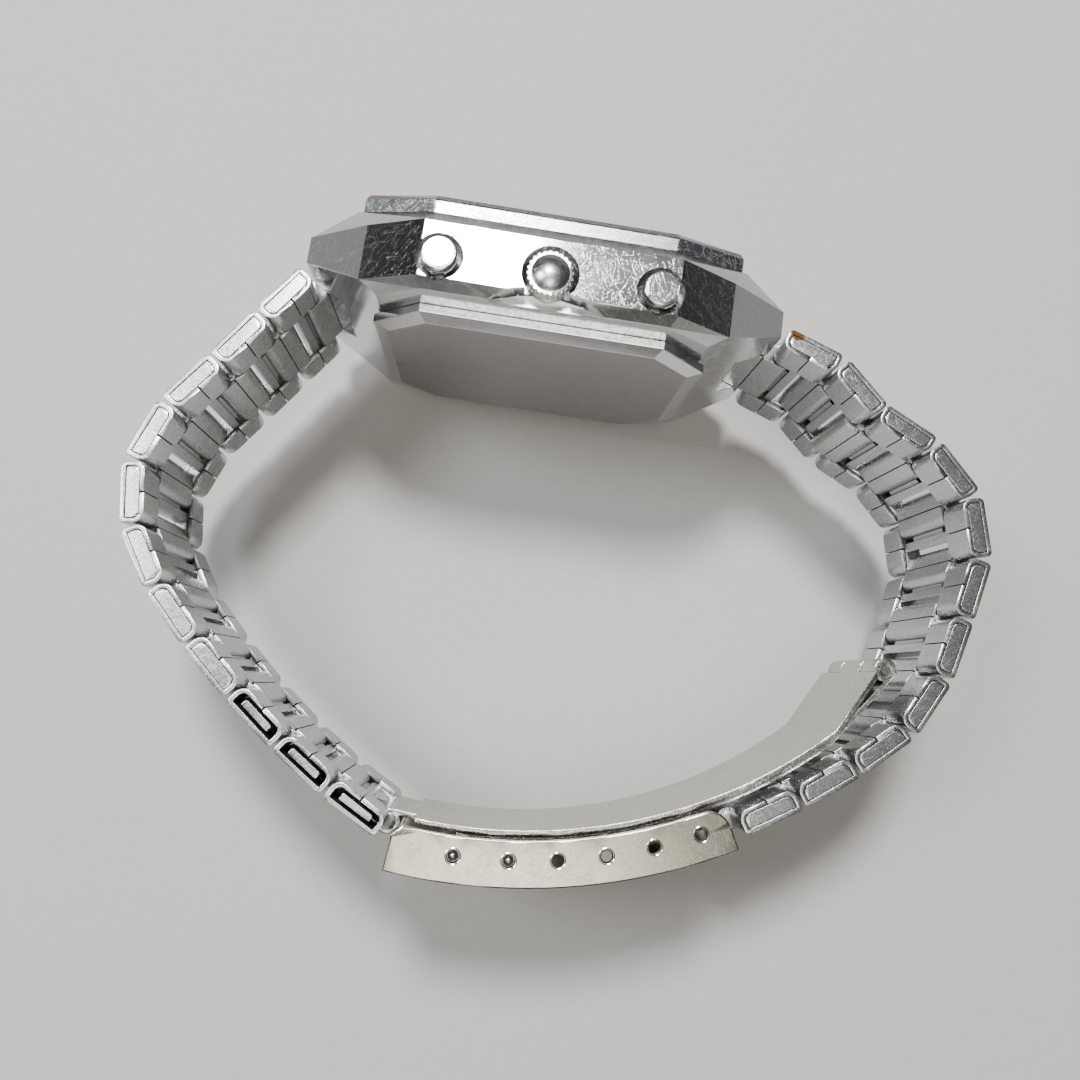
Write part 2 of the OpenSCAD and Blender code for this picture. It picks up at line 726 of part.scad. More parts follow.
// Held compressed, so that its tips clear the lug holes
module spring_bar_6() {
    spring_bar(-bar_x, bar_y, centre_w - 0.6, bar_r, bar_tip_r, 0.25);
}

// Clasp, in its own frame with z counted from the bracelet's edge

module clasp_cover() {
    round_r = 1.9;
    small_r = 1;
    color("silver") in_clasp() difference() {
        union() {
            linear_extrude(height = band_w) arc_band(clasp_r - plate_t, clasp_r, 0, cover_l);
            for (z = [0, band_w - wall_t]) {
                translate([0, 0, z]) linear_extrude(height = wall_t) {
                    arc_band(wall_top_r, clasp_r - 0.1, small_r, cover_l - round_r);
                    arc_band(wall_top_r + small_r, clasp_r - 0.1, 0, small_r + 0.5);
                    disc(at(small_r, wall_top_r + small_r), small_r);
                    arc_band(wall_top_r + round_r, clasp_r - 0.1, cover_l - round_r - 0.5, cover_l);
                    disc(at(cover_l - round_r, wall_top_r + round_r), round_r);
                }
            }
        }
        for (i = [0:HOLES - 1]) {
            hole = at(hole_at(i), holes_r);
            post(hole[0], hole[1], -1, band_w + 1, hole_r);
        }
    }
}
// The hinge pin in the first hole and the stop pin in the second, both domed at their ends
module clasp_cover_pins() {
    color("lightgray") in_clasp() for (i = [0, 1]) {
        hole = at(hole_at(i), holes_r);
        post(hole[0], hole[1], pin_r - 0.1, band_w - pin_r + 0.1, pin_r);
        for (z = [pin_r - 0.1, band_w - pin_r + 0.1]) {
            translate([hole[0], hole[1], z]) sphere(r = pin_r - 0.02, $fn = 32);
        }
    }
}
module clasp_spring_bar() {
    hole = at(hole_at(end_hole - 1), holes_r);
    color("lightgray") in_clasp() {
        post(hole[0], hole[1], row_z + 0.1, band_w - row_z - 0.1, end_bar_r);
        post(hole[0], hole[1], 0.15, band_w - 0.15, end_bar_r - 0.12);
    }
}
// The last piece of the 12 o'clock side, which runs inside the cover from its spring bar to the first link
module clasp_end_link() {
    hole_u = hole_at(end_hole - 1);
    hole = at(hole_u, holes_r);
    tube_r = 1.05;
    bar_tube_r = 0.9;
    color("silver") in_clasp() difference() {
        translate([0, 0, row_z]) linear_extrude(height = centre_w) {
            disc(pivot_12, tube_r);
            disc(hole, bar_tube_r);
            arc_band(holes_r - 0.35, holes_r + 0.55, hole_u + 0.7, cover_l + 0.4);
        }
        post(hole[0], hole[1], -1, band_w + 1, end_bar_r + run);
        post(pivot_12[0], pivot_12[1], -1, row_z + stub_l + 0.1, stub_bore);
        post(pivot_12[0], pivot_12[1], band_w - row_z - stub_l - 0.1, band_w + 1, stub_bore);
    }
}
// Width-direction limits of the blades and their knuckles
function centred(w) = [(band_w - w) / 2, (band_w + w) / 2];
module clasp_blade_middle() {
    hole = at(first_hole, holes_r);
    wide = centred(middle_w);
    knuckle = centred(knuckle_w + 0.2);
    fold = at(fold_start, middle_r);
    landing = at(barrel_at, barrel_r + knuckle_r - middle_t / 2 - 0.08);
    color("silver") in_clasp() difference() {
        union() {
            translate([0, 0, wide[0]]) linear_extrude(height = middle_w)
                arc_band(middle_r - middle_t / 2, middle_r + middle_t / 2, first_hole, fold_start);
            translate([0, 0, wide[0]]) linear_extrude(height = middle_w) strip(fold, landing, middle_t);
            post(hole[0], hole[1], wide[0], wide[1], holes_r - middle_r);
            post(fold[0], fold[1], wide[0], wide[1], middle_t / 2 + 0.03);
            post(barrel[0], barrel[1], wide[0], wide[1], knuckle_r);
        }
        post(hole[0], hole[1], -1, band_w + 1, pin_r + run);
        post(barrel[0], barrel[1], -1, band_w + 1, blade_pin_r + 0.02);
        translate([0, 0, knuckle[0]]) linear_extrude(height = knuckle[1] - knuckle[0])
            disc(barrel, knuckle_r + part_gap);
    }
}
module clasp_blade_inner() {
    wide = centred(inner_w);
    knuckle = centred(knuckle_w);
    fold = at(fold_start + 1, inner_r);
    landing = at(barrel_at, barrel_r - knuckle_r + inner_t / 2 + 0.08);
    color("gainsboro") in_clasp() difference() {
        union() {
            translate([0, 0, wide[0]]) linear_extrude(height = inner_w) {
                arc_band(inner_r - inner_t / 2, inner_r + inner_t / 2, 1.6, fold_start + 1);
                strip(fold, landing, inner_t);
                disc(fold, inner_t / 2 + 0.03);
            }
            translate([0, 0, row_z]) linear_extrude(height = centre_w) {
                arc_band(inner_r - inner_t / 2, inner_r + inner_t / 2, -0.85, 2);
                disc(pivot_6, 1.1);
            }
            translate([0, 0, knuckle[0]]) linear_extrude(height = knuckle_w) disc(barrel, knuckle_r);
        }
        post(barrel[0], barrel[1], -1, band_w + 1, blade_pin_r + run);
        for (z = [-1, knuckle[1]]) {
            translate([0, 0, z]) linear_extrude(height = knuckle[0] + 1)
                disc(barrel, knuckle_r + part_gap);
        }
        post(pivot_6[0], pivot_6[1], -1, row_z + stub_l + 0.1, stub_bore);
        post(pivot_6[0], pivot_6[1], band_w - row_z - stub_l - 0.1, band_w + 1, stub_bore);
    }
}
module clasp_blade_pin() {
    wide = centred(middle_w);
    color("lightgray") in_clasp() post(barrel[0], barrel[1], wide[0] - 0.15, wide[1] + 0.15, blade_pin_r);
}

case_body();
bezel();
crystal();
case_back();
case_back_gasket();
dial();
hour_markers();
display_panel();
hour_hand();
minute_hand();
second_hand();
movement_plate();
gear_train_cover();
circuit_board();
battery();
battery_strap();
coil();
stator();
rotor();
quartz_can();
setting_lever();
stem();
crown();
crown_gasket();
pusher(pusher_x);  // pusher_2
pusher(-pusher_x);  // pusher_4
pusher_spring(pusher_x);  // pusher_spring_2
pusher_spring(-pusher_x);  // pusher_spring_4
spring_bar_12();
spring_bar_6();
clasp_cover();
clasp_cover_pins();
clasp_spring_bar();
clasp_end_link();
clasp_blade_middle();
clasp_blade_inner();
clasp_blade_pin();
for (k = [1:LINKS]) {
    link_12(k);
    link_6(k);
}
echo(spread = spread, clasp_turn = clasp_turn, clasp_origin = clasp_origin);
echo(joints_12 = joints_12);
echo(joints_6 = joints_6);
echo(dirs = [for (i = [0:LINKS - 1]) [link_dir(dirs_12, -spread, i), link_dir(dirs_6, spread, i)]]);
echo(clasp = [clasp_point(at(first_hole, holes_r)), clasp_point(barrel),
              clasp_point(at(hole_at(end_hole - 1), holes_r))]);
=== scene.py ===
# %% [markdown]
# # A quartz watch on a folded-link steel bracelet
# The watch lies on the 9 o'clock flank of its case, with the clasp closed. +X points to 12 o'clock, +Y
# out of the dial and +Z to the crown. The CAD model brings every piece at its real size, in metres, so
# this lesson is about edges, finishes and light: what makes plain solids look like worn steel.

# %% Load the frame
import json
from math import cos, pi, radians, sin, sqrt

import bmesh
import bpy
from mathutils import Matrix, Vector
from mathutils.bvhtree import BVHTree


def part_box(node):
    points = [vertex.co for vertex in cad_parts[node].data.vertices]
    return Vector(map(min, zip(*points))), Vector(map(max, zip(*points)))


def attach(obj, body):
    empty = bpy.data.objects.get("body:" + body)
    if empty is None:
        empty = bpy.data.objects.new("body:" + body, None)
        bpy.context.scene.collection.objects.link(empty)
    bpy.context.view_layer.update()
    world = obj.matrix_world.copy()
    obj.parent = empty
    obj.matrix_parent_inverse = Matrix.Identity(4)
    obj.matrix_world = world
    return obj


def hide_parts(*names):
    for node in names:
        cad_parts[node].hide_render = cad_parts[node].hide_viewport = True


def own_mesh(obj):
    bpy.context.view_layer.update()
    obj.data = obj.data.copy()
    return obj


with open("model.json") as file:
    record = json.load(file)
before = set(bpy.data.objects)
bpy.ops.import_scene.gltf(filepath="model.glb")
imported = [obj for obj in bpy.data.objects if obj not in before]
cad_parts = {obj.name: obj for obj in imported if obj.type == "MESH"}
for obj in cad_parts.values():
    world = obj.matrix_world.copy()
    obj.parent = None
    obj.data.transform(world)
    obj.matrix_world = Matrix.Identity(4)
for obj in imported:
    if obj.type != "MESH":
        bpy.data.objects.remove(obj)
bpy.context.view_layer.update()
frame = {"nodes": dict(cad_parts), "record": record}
NODES = frame["nodes"]
MM = 0.001

# %% [markdown]
# ## The camera
# The photograph was taken from close above the crown side, so what is near looks larger. A far camera with
# a long lens would be easier to aim, but it would lose that. The lens and the place below were fitted to
# the hinge pitch, which is the same all round the bracelet.

# %% Camera
FOCAL_MM, SENSOR_MM = 31.639, 36.0
CAMERA_AT = Vector((-0.570, -35.421, 110.619)) * MM
CAMERA_TURN = [radians(a) for a in (8.4396, -3.3722, 8.0221)]
NEAREST = 0.005

bpy.ops.object.select_all(action="DESELECT")
bpy.ops.object.camera_add(location=CAMERA_AT, rotation=CAMERA_TURN)
camera = bpy.context.object
camera.data.sensor_width = SENSOR_MM
camera.data.lens = FOCAL_MM
camera.data.clip_start = NEAREST
bpy.context.scene.camera = camera
print("camera", [round(v, 4) for v in camera.location])

# %% [markdown]
# ## A small language for shaders
# The look of worn metal is a sum of layers, such as brushing, scratches and stains. Its nodes could be added
# and linked one by one, at several lines for each sum. Here a `Socket` wraps one output and overloads the
# operators, so that `1 - mask` adds Math nodes, and every other node comes from the one method `node`.

# %% Sockets and nodes
class Socket:
    """One output of a node, with operators that add Math nodes."""

    def __init__(self, nodes, output):
        self.nodes, self.output = nodes, output

    def math(self, operation, *others):
        return self.nodes.node("ShaderNodeMath", {"operation": operation}, dict(enumerate((self, *others))))

    def __add__(self, other):
        return self.math("ADD", other)

    def __sub__(self, other):
        return self.math("SUBTRACT", other)

    def __mul__(self, other):
        return self.math("MULTIPLY", other)

    def __rsub__(self, other):
        return (self * -1) + other

    __radd__, __rmul__ = __add__, __mul__

    def above(self, low, high):
        """0 under low, 1 over high and a smooth step between."""
        sockets = dict(enumerate((self, low, high, 0.0, 1.0)))
        return self.nodes.node("ShaderNodeMapRange", {"interpolation_type": "SMOOTHSTEP"}, sockets)


class Nodes:
    """A node tree to add nodes to."""

    def __init__(self, tree):
        self.tree = tree

    def feed(self, node, sockets):
        """Links or sets inputs of a node, each given by its name or number."""
        for key, value in sockets.items():
            if isinstance(value, Socket):
                self.tree.links.new(value.output, node.inputs[key])
            else:
                node.inputs[key].default_value = value

    def node(self, kind, settings=None, sockets=None, out=0):
        """Adds a node: its settings first, such as a ramp's stops, then what its sockets are fed."""
        new = self.tree.nodes.new(kind)
        for key, value in (settings or {}).items():
            if key == "stops":
                set_stops(new.color_ramp, value)
            else:
                setattr(new, key, value)
        self.feed(new, sockets or {})
        return Socket(self, new.outputs[out])


def set_stops(ramp, stops):
    """Gives a colour ramp its eased greys, each at a place from 0 to 1."""
    ramp.interpolation = "EASE"
    while len(ramp.elements) < len(stops):
        ramp.elements.new(0.5)
    for stop, (at, grey) in zip(ramp.elements, stops):
        stop.position = at
        stop.color = rgb(grey, grey, grey)


def rgb(r, g, b):
    return (r, g, b, 1.0)


for made in (Socket, Nodes):
    print(made.__name__, "-", made.__doc__)

# %% [markdown]
# ## A finish
# A finish is a material whose patterns are as large as on the real thing. An image could bring them, but it
# would need a flat layout of every piece. Noise in the space of the object needs none, and `grain` takes
# its size as so many cells to the millimetre, stretched along an axis where the real surface is brushed.

# %% Finish
class Finish(Nodes):
    """A material that reads object coordinates."""

    def __init__(self, name):
        self.material = bpy.data.materials.new(name)
        self.material.use_nodes = True
        super().__init__(self.material.node_tree)
        self.place = self.node("ShaderNodeTexCoord", out="Object")

    def mapped(self, scale, turn=(0, 0, 0), shift=(0, 0, 0)):
        """Object coordinates, first turned and shifted and then stretched."""
        turned = self.node("ShaderNodeMapping", {"vector_type": "TEXTURE"}, {
            "Vector": self.place, "Rotation": [radians(a) for a in turn], "Location": shift})
        return self.node("ShaderNodeMapping", sockets={"Vector": turned, "Scale": scale})

    def noise(self, at, detail=2.0, roughness=0.5, distortion=0.0):
        return self.node("ShaderNodeTexNoise", sockets={
            "Vector": at, "Scale": 1.0, "Detail": detail, "Roughness": roughness, "Distortion": distortion})

    def grain(self, per_mm, stretch=(1, 1, 1), **kind):
        """Noise with so many cells to the millimetre, along each axis times its stretch."""
        return self.noise(self.mapped([per_mm * s / MM for s in stretch]), **kind)

    def mix(self, factor, a, b):
        """Mixes two colours."""
        return self.node("ShaderNodeMix", {"data_type": "RGBA"}, {0: factor, 6: a, 7: b}, out=2)

    def bump(self, height, strength, depth_mm):
        sockets = {"Strength": strength, "Distance": depth_mm * MM, "Height": height}
        return self.node("ShaderNodeBump", sockets=sockets)

    def finish(self, **sockets):
        """Feeds the surface, by its sockets' names with _ for a space, and returns the material."""
        surface = self.tree.nodes["Principled BSDF"]
        self.feed(surface, {key.replace("_", " "): value for key, value in sockets.items()})
        return self.material


def shade(colour, share):
    """A colour made darker or lighter."""
    return rgb(*[min(1, c * share) for c in colour])


print(Finish.__name__, "-", Finish.__doc__)

# %% [markdown]
# ## The floor
# The watch lies on plain pale ground. A backdrop that curves up behind it would show the same, since the
# camera looks almost straight down, so a large flat plane is enough. A fine grain keeps its colour from
# being one flat tone, and the lights alone make it bright.

# %% Floor
FLOOR_HALF = 1.5
bpy.ops.object.select_all(action="DESELECT")
bpy.ops.mesh.primitive_plane_add(size=2 * FLOOR_HALF, location=(0, 0, 0))
floor = bpy.context.object
floor.name = "floor"
pale = Finish("pale_floor")
pale_colour = pale.mix(pale.grain(0.9, detail=3), rgb(0.60, 0.585, 0.56), rgb(0.66, 0.645, 0.62))
floor.data.materials.append(pale.finish(Base_Color=pale_colour, Roughness=0.85))
print("floor:", 2 * FLOOR_HALF, "m wide")


# %% [markdown]
# ## Lights
# Shadows in the photograph are soft, and the facets on the left are blown out. A sun lamp would give hard
# shadows. Round area lamps, as wide as a window some way off, give soft ones, and each also shows in the
# polished steel as a bright round patch.

# %% Lights
def soft_light(name, at, aim, size, power, colour):
    """A round area light at a place, turned to face a point."""
    bpy.ops.object.select_all(action="DESELECT")
    bpy.ops.object.light_add(type="AREA", location=at)
    lamp = bpy.context.object
    lamp.name = name
    lamp.data.shape = "DISK"
    lamp.data.size = size
    lamp.data.energy = power
    lamp.data.color = colour
    lamp.rotation_euler = (Vector(aim) - Vector(at)).to_track_quat("-Z", "Y").to_euler()
    print(name, power, "W")


CASE_MIDDLE = (0.0, 0.0, 0.02)
LOOP_MIDDLE = (0.0, -0.025, 0.02)
soft_light("key_light", (-0.060, 0.205, 0.47), CASE_MIDDLE, 0.10, 3.0, (1.0, 0.99, 0.97))
soft_light("left_light", (-0.30, 0.04, 0.46), LOOP_MIDDLE, 0.16, 1.2, (0.97, 0.98, 1.0))
soft_light("clasp_light", (0.02, -0.20, 0.60), LOOP_MIDDLE, 0.24, 0.8, (1.0, 0.95, 0.86))

# %% [markdown]
# ## Surroundings
# Polished steel shows its surroundings more than itself. Boxes and cards could be modelled round the watch,
# as a photographer sets them up. A world that is only a ramp of greys, from the floor over the horizon to
# the ceiling, is simpler to tune: its dark belt gives the slanted facets their deep tone.

# %% Surroundings
# Grey of the room from straight down, 0, over the horizon, 0.5, to straight up, 1
STOPS = [(0.0, 0.20), (0.49, 0.44), (0.54, 0.40), (0.61, 0.09),
         (0.72, 0.03), (0.86, 0.06), (0.95, 0.20), (1.0, 0.30)]
world = bpy.data.worlds.new("studio")
bpy.context.scene.world = world
world.use_nodes = True
sky = Nodes(world.node_tree)
direction = sky.node("ShaderNodeTexCoord", out="Generated")
height = sky.node("ShaderNodeSeparateXYZ", sockets={0: direction}, out=2)
greys = sky.node("ShaderNodeValToRGB", {"stops": STOPS}, {0: height * 0.5 + 0.5})
sky.feed(world.node_tree.nodes["Background"], {"Color": greys, "Strength": 1.0})
print("greys:", len(STOPS))

# %% [markdown]
# ## Steel
# One recipe makes every steel of the watch, because they differ only by how they were finished and worn.
# Brushing is noise stretched along one axis. Scratches could be drawn as curves, one by one, but stretched
# noise cut to thin lines at several angles gives hundreds. A faint cloud changes the roughness where
# fingers and cloth have worn it, and speckles stand for small pits.

# %% Steel
# Angle in degrees and shortness of each set of scratches
SCRATCH_SETS = ((23, 0.5), (-41, 0.7), (74, 0.4), (118, 0.6))
SCRATCHES_PER_MM, ACROSS_PER_MM = 13, 1.3
# Near black of the painted shade in corners hidden from the sky
PAINTED_SHADE_COLOUR = rgb(0.035, 0.030, 0.026)
SCRATCH_COLOUR = rgb(0.80, 0.80, 0.80)
RUST_DARK, RUST_LIGHT = rgb(0.10, 0.045, 0.018), rgb(0.30, 0.16, 0.06)
# What brushing and cloud add to the roughness on average
LAYERS_ADD = 0.12


def thin_scratches(s):
    """Sets of thin lines that cross at several angles."""
    lines = 0.0
    for angle, shortness in SCRATCH_SETS:
        along = shortness * ACROSS_PER_MM / MM
        at = s.mapped((SCRATCHES_PER_MM / MM, along, along), (0, angle * 0.4, angle), (angle * MM, 0, 0))
        lines = s.noise(at, detail=1, distortion=0.7).above(0.67, 0.71) + lines
    return lines


def rust_spot(s, middle):
    """1 inside a ragged spot round a point in millimetres and 0 outside, and the noise of its edge."""
    ends = {0: s.place, 1: [v * MM for v in middle]}
    away = s.node("ShaderNodeVectorMath", {"operation": "DISTANCE"}, ends, out=1)
    edge = s.grain(2.2, detail=4, roughness=0.7)
    return 1 - (away * (1 / MM) + edge * 1.2).above(1.15, 1.5), edge


def steel(name, tint, brush, rough, brushing, scratches, stain=0.15, speckle=0.0, rust_at=None):
    """Worn steel, brushed along the axis where brush is small."""
    s = Finish(name)
    fine = s.grain(14, brush, detail=3, roughness=0.6)
    coarse = s.grain(3, brush)
    cloud = s.grain(0.35, detail=4, roughness=0.6)
    wear = (thin_scratches(s) * scratches).math("MINIMUM", 1.0)
    pits = s.grain(5.5, detail=3, roughness=0.7).above(0.50, 0.62) * speckle
    grime = s.node("ShaderNodeAttribute", {"attribute_name": "grime"}, out="Fac")
    roughness = fine * (0.16 * brushing) + cloud * 0.14 + wear * 0.16 + pits * 0.2 + grime * 0.35
    roughness = roughness + (rough - LAYERS_ADD)
    stained = s.mix(cloud.above(0.55, 0.8) * stain, rgb(*tint), shade(tint, 0.55))
    pitted = s.mix(pits * 0.5, stained, shade(tint, 0.5))
    scratched = s.mix(wear * 0.35, pitted, SCRATCH_COLOUR)
    # Painted shade: corners hidden from the sky are darkened towards near black
    colour = s.mix(grime, scratched, PAINTED_SHADE_COLOUR)
    if rust_at:
        rust, edge = rust_spot(s, rust_at)
        colour = s.mix(rust, colour, s.mix(edge, RUST_DARK, RUST_LIGHT))
        roughness = roughness + rust * 0.5
    relief = fine * brushing + coarse * (0.4 * brushing) - wear * 0.8 - pits * 0.5
    bump = s.bump(relief, strength=0.28, depth_mm=0.03)
    return s.finish(Base_Color=colour, Metallic=1.0, Roughness=roughness, Normal=bump)


print("scratches at", [angle for angle, _ in SCRATCH_SETS], "degrees")

# %% [markdown]
# ## The steels of this watch
# The watch has a polished case with brushed shoulders, a darker band with pits, a warmer clasp and a bar
# inside it. Each gets its own tint and its own brushing along X, along Z or along no axis, and the dark tints
# of the shoulders, the back's flat face and the bar are painted shade. Paint on one shared material could do
# this too, but a material for each finish stays easy to change.

# %% Steels
ALONG_Z, ALL_WAYS = (1, 1, 0.04), (1, 1, 1)
CASE_STEEL = steel("case_steel", (0.58, 0.59, 0.60), (0.03, 1, 1), rough=0.14, brushing=0.25, scratches=0.5)
SCOOP_STEEL = steel("scoop_steel", (0.70, 0.71, 0.69), (0.2, 1, 1), rough=0.42, brushing=0.1, scratches=0.1)
# The shoulders' dark tint is painted shade, a dark reflection put into the colour
SHADED_SHOULDER_STEEL = steel("shoulder_steel", (0.25, 0.25, 0.22), (0.03, 1, 1), rough=0.22, brushing=0.4,
                       scratches=0.3)
BEZEL_STEEL = steel("bezel_steel", (0.43, 0.46, 0.49), (0.02, 1, 1), rough=0.25, brushing=0.8, scratches=0.9)
LINK = dict(tint=(0.50, 0.52, 0.53), brush=ALONG_Z, rough=0.26, brushing=0.6, scratches=0.4, stain=0.3,
            speckle=0.3)
LINK_STEEL = steel("link_steel", **LINK)
RUSTY_STEEL = steel("rusty_steel", **LINK, rust_at=(24.2, 0.95, 26.0))
CLASP_STEEL = steel("clasp_steel", (0.405, 0.395, 0.33), ALONG_Z, rough=0.27, brushing=0.3, scratches=0.18)
BLADE_STEEL = steel("blade_steel", (0.52, 0.515, 0.48), (0.04, 0.04, 1), rough=0.24, brushing=0.5,
                    scratches=0.4, speckle=0.5)
# The back's dark tint is painted shade
SHADED_BACK_STEEL = steel("back_steel", (0.30, 0.295, 0.30), (0.05, 1, 1), rough=0.3, brushing=0.6, scratches=0.4)
CROWN_STEEL = steel("crown_steel", (0.64, 0.64, 0.64), ALL_WAYS, rough=0.30, brushing=0.1, scratches=0.3)
BUTTON_STEEL = steel("button_steel", (0.62, 0.62, 0.62), ALL_WAYS, rough=0.17, brushing=0.15, scratches=0.6)
# The rims' pale tint is a painted highlight
HIGHLIT_RIM_STEEL = steel("rim_steel", (0.80, 0.79, 0.74), ALL_WAYS, rough=0.18, brushing=0.2, scratches=0.2)
# The spring bar's dark tint is painted shade, as it sits deep in the cover's holes
SHADED_BAR_STEEL = steel("dull_steel", (0.20, 0.195, 0.18), ALL_WAYS, rough=0.4, brushing=0.4, scratches=0.2)
PIN_STEEL = steel("pin_steel", (0.46, 0.46, 0.45), ALL_WAYS, rough=0.3, brushing=0.3, scratches=0.2)
print("steels:", sum(m.name.endswith("_steel") for m in bpy.data.materials))


# %% [markdown]
# ## Finishes that aren't steel
# Rubber, copper wire, lacquer and bright chrome could be flat colours, but nothing real is that even. One
# short recipe gives each of them a fine grain in its colour, gloss and surface.

# %% Other finishes
GRAIN = 0.06


def plain(name, colour, rough, metallic=0.0, per_mm=2.0):
    """A finish with a fine grain in its colour, gloss and surface."""
    s = Finish(name)
    speck = s.grain(per_mm, detail=3)
    tint = s.mix(speck, shade(colour, 1 - GRAIN), shade(colour, 1 + GRAIN))
    bump = s.bump(speck, strength=0.1, depth_mm=0.02)
    return s.finish(Base_Color=tint, Roughness=speck * 0.1 + (rough - 0.05), Metallic=metallic, Normal=bump)


MARKER = plain("marker_chrome", (0.85, 0.85, 0.85), rough=0.12, metallic=1.0)
DISPLAY = plain("display_glass", (0.16, 0.19, 0.145), rough=0.25)
GASKET = plain("gasket_rubber", (0.02, 0.02, 0.02), rough=0.7)
PLATE = plain("plate_nickel", (0.62, 0.56, 0.42), rough=0.35, metallic=1.0)
BOARD = plain("board_lacquer", (0.02, 0.11, 0.05), rough=0.35)
WINDING = plain("winding_copper", (0.55, 0.22, 0.08), rough=0.3, metallic=0.9, per_mm=9)
CELL = plain("cell_steel", (0.7, 0.7, 0.7), rough=0.25, metallic=1.0)
smudged = Finish("crystal_glass")
CRYSTAL = smudged.finish(Base_Color=rgb(0.97, 0.99, 1.0), Roughness=smudged.grain(0.3, detail=3) * 0.02,
                         Transmission_Weight=1.0, IOR=1.5)
print("materials:", len(bpy.data.materials))


# %% [markdown]
# ## The dial
# Such a dial is brushed outwards from its middle under dark lacquer, and its minute track is printed on.
# The track could be sixty thin boxes, but print has no height worth a mesh. So both come from the angle and
# the radius of each point: noise along the angle for the rays, and a line every sixtieth of a turn.

# %% Dial
# Height of the dial's middle, the radii between which the minute track is printed, how far from its middle
# a minute line fades, and half the fade of its ends, all in millimetres
DIAL_Z, TICKS, TICK_EDGE, SOFT_END = 17, (10.15, 10.6), (0.055, 0.075), 0.02
MINUTES = 60


def sunray_dial(name, colour):
    """Dark lacquer over rays brushed out from the middle, with a printed minute track."""
    s = Finish(name)
    x, z = (s.node("ShaderNodeSeparateXYZ", sockets={0: s.place}, out=i) for i in (0, 2))
    across, along = (z - DIAL_Z * MM) * (1 / MM), x * (1 / MM)
    radius = (across * across + along * along).math("SQRT")
    angle = across.math("ARCTAN2", along)
    around = {"W": angle * 30.0, "Scale": 1.0, "Detail": 4.0}
    rays = s.node("ShaderNodeTexNoise", {"noise_dimensions": "1D"}, around)
    lacquer = s.mix(rays, shade(colour, 0.6), shade(colour, 1.7))
    turns = angle * (MINUTES / 2 / pi) + (MINUTES + 0.5)
    off_line = (turns.math("FRACT") - 0.5).math("ABSOLUTE") * (2 * pi / MINUTES) * radius
    printed = (1 - off_line.above(*TICK_EDGE)) * radius.above(TICKS[0] - SOFT_END, TICKS[0] + SOFT_END)
    printed = printed * (1 - radius.above(TICKS[1] - SOFT_END, TICKS[1] + SOFT_END))
    bump = s.bump(rays + printed, strength=0.1, depth_mm=0.01)
    return s.finish(Base_Color=s.mix(printed, lacquer, rgb(0.72, 0.72, 0.70)), Roughness=rays * 0.1 + 0.24,
                    Metallic=0.5 * (1 - printed), Normal=bump)


DIAL = sunray_dial("dial_lacquer", (0.010, 0.016, 0.045))
print("minute track:", MINUTES, "lines")

# %% [markdown]
# ## Finishes on the CAD nodes
# Every node of the CAD model already is a piece of the watch with its true shape. A finish could be chosen
# by the piece's body or colour, but one table by name is plain to read: what it leaves out is a link or a
# small pin. The first link at 12 o'clock has a rust spot at a corner, as in the photograph.

# %% Finishes on the CAD nodes
FINISH = {
    "case_body": CASE_STEEL, "bezel": BEZEL_STEEL, "crystal": CRYSTAL, "case_back": SHADED_BACK_STEEL,
    "case_back_gasket": GASKET, "dial": DIAL, "hour_markers": MARKER, "display_panel": DISPLAY,
    "hour_hand": MARKER, "minute_hand": MARKER, "second_hand": MARKER, "movement_plate": PLATE,
    "gear_train_cover": PLATE, "circuit_board": BOARD, "battery": CELL, "coil": WINDING, "quartz_can": CELL,
    "crown": CROWN_STEEL, "crown_gasket": GASKET, "pusher_2": BUTTON_STEEL, "pusher_4": BUTTON_STEEL,
    "clasp_cover": CLASP_STEEL, "clasp_end_link": LINK_STEEL, "clasp_spring_bar": SHADED_BAR_STEEL,
    "clasp_blade_middle": BLADE_STEEL, "clasp_blade_inner": BLADE_STEEL, "link_12_01": RUSTY_STEEL,
}
for name, node in NODES.items():
    node.data.materials.clear()
    node.data.materials.append(FINISH.get(name, LINK_STEEL if name.startswith("link_") else PIN_STEEL))
print("finished:", len(NODES), "nodes, by name", len(FINISH))

# %% [markdown]
# ## Softened edges
# No real edge is perfectly sharp, and the thin bright line along it is what makes metal look like metal. A
# shader can fake it with its Bevel node, but only in the render. A Bevel modifier gives real faces, so each
# visible piece gets a copy with its triangles merged to flat faces and its edges rounded, and the copy
# stands for the node. First each sharp edge is marked. The rims of the clasp's holes aren't, because a
# bevel there would run along the fan of triangles round the hole.

# %% Sharp edges
# Centres of the barrel's notch and of the six holes in the cover's walls, x and y in millimetres
BARREL_NOTCH = (-5.497, -49.582)
WALL_HOLES = [(-0.968, -50.492), (3.825, -50.270), (8.035, -49.695),
              (12.182, -48.770), (16.237, -47.501), (20.171, -45.897)]
HOLE_REACH = 1.15
# Two sharp edges that meet at less than this would pull the bevel into a long spike
SPIKE = radians(35)


def at_a_hole(edge):
    """Whether both ends of an edge are on the rim or wall of the notch or a hole."""
    return any(all((v.co.xy - Vector(hole) * MM).length < HOLE_REACH * MM for v in edge.verts)
               for hole in [BARREL_NOTCH] + WALL_HOLES)


